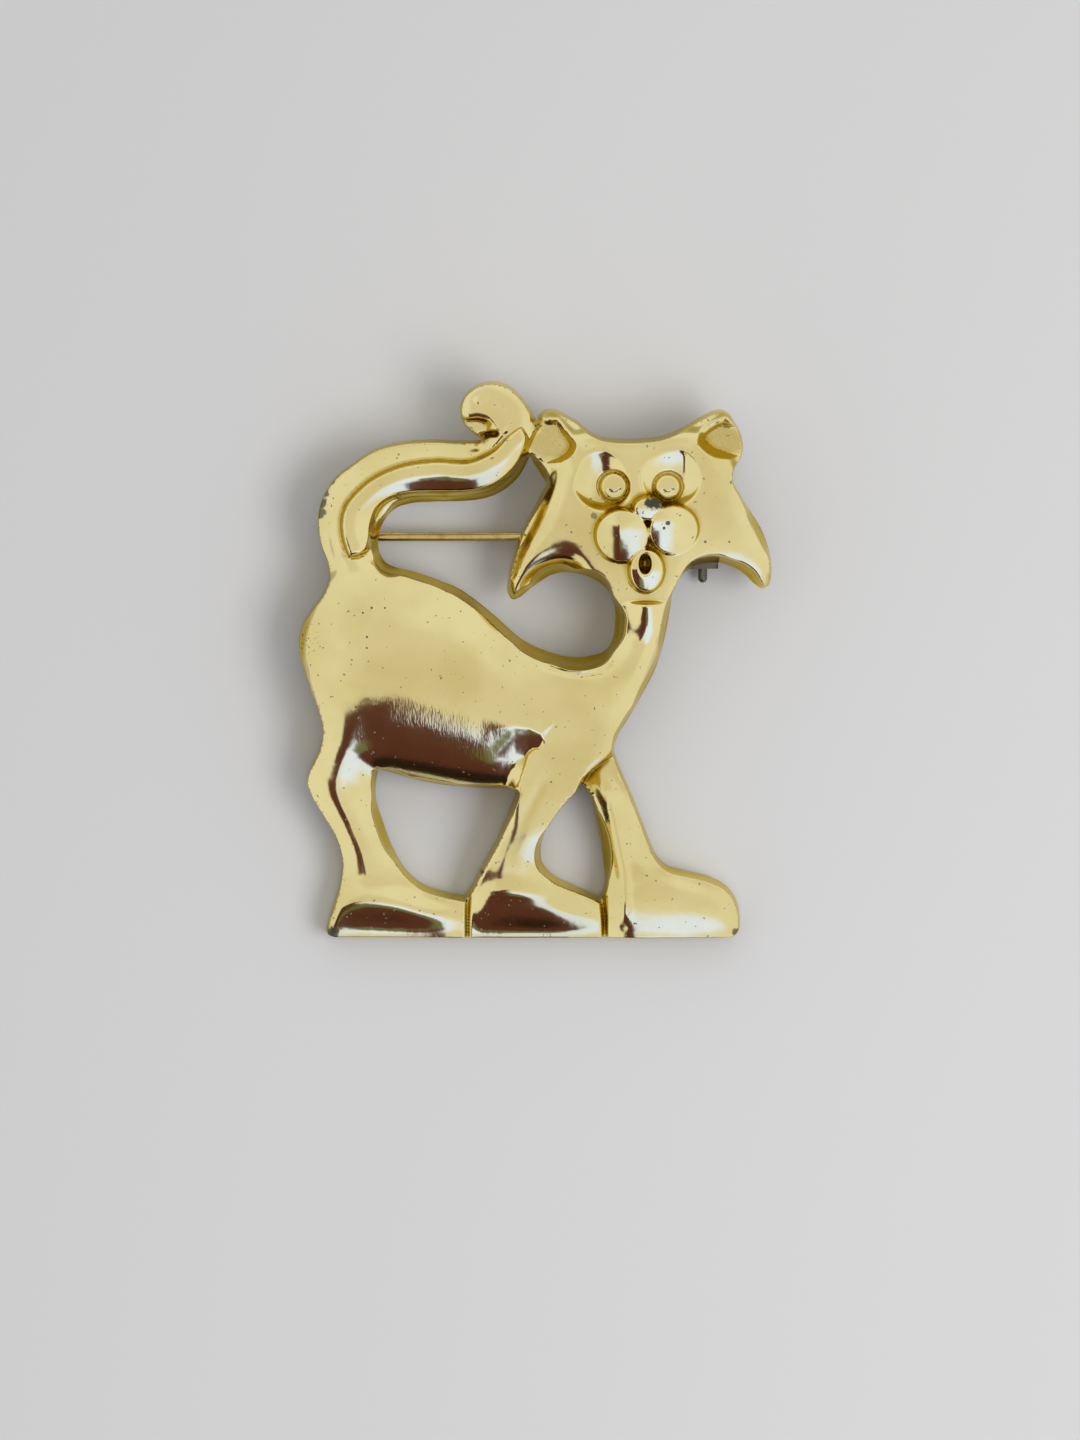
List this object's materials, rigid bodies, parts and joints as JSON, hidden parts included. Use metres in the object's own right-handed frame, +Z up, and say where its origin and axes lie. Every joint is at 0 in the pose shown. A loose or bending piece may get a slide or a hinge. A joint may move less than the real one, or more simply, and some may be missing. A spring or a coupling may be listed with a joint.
{
  "type": "cat brooch",
  "caption": "Cast standing-cat brooch with a curled tail and raised face, hollow behind, with a hinged pin stem and a roll-over safety catch.",
  "frame": {"origin": "on the table under the middle of the brooch's outline, as it lies on its back on its soles' rim, its hinge and its catch", "axes": "+X to the cat's head side, +Y from the feet to the ears, +Z up from the table, out of the cat's face"},
  "size_m": [0.0472, 0.0555, 0.0119],
  "materials": {
    "gold_plate": "bright pale gold plating, worn at the edges, on a cast zinc alloy",
    "gold_wire": "bright gold plated steel wire",
    "dark_steel": "dark tarnished steel sheet"
  },
  "bodies": {
    "brooch": {"cat_casting": "gold_plate", "hinge_bracket": "dark_steel", "hinge_rivet": "gold_wire", "catch_housing": "dark_steel"},
    "pin": {"pin_stem": "gold_wire"},
    "roller": {"catch_roller": "dark_steel"}
  },
  "joints": [
    {"name": "pin_hinge", "type": "hinge", "parent": "brooch", "child": "pin", "pos_m": [-0.01854, 0.01226, 0.0017], "axis": [0, 0.996, 0.0898], "range_deg": [0, 100]},
    {"name": "catch_turn", "type": "hinge", "parent": "brooch", "child": "roller", "pos_m": [0.01674, 0.01226, 0.0017], "axis": [1, 0, 0], "range_deg": [0, 95]}
  ]
}
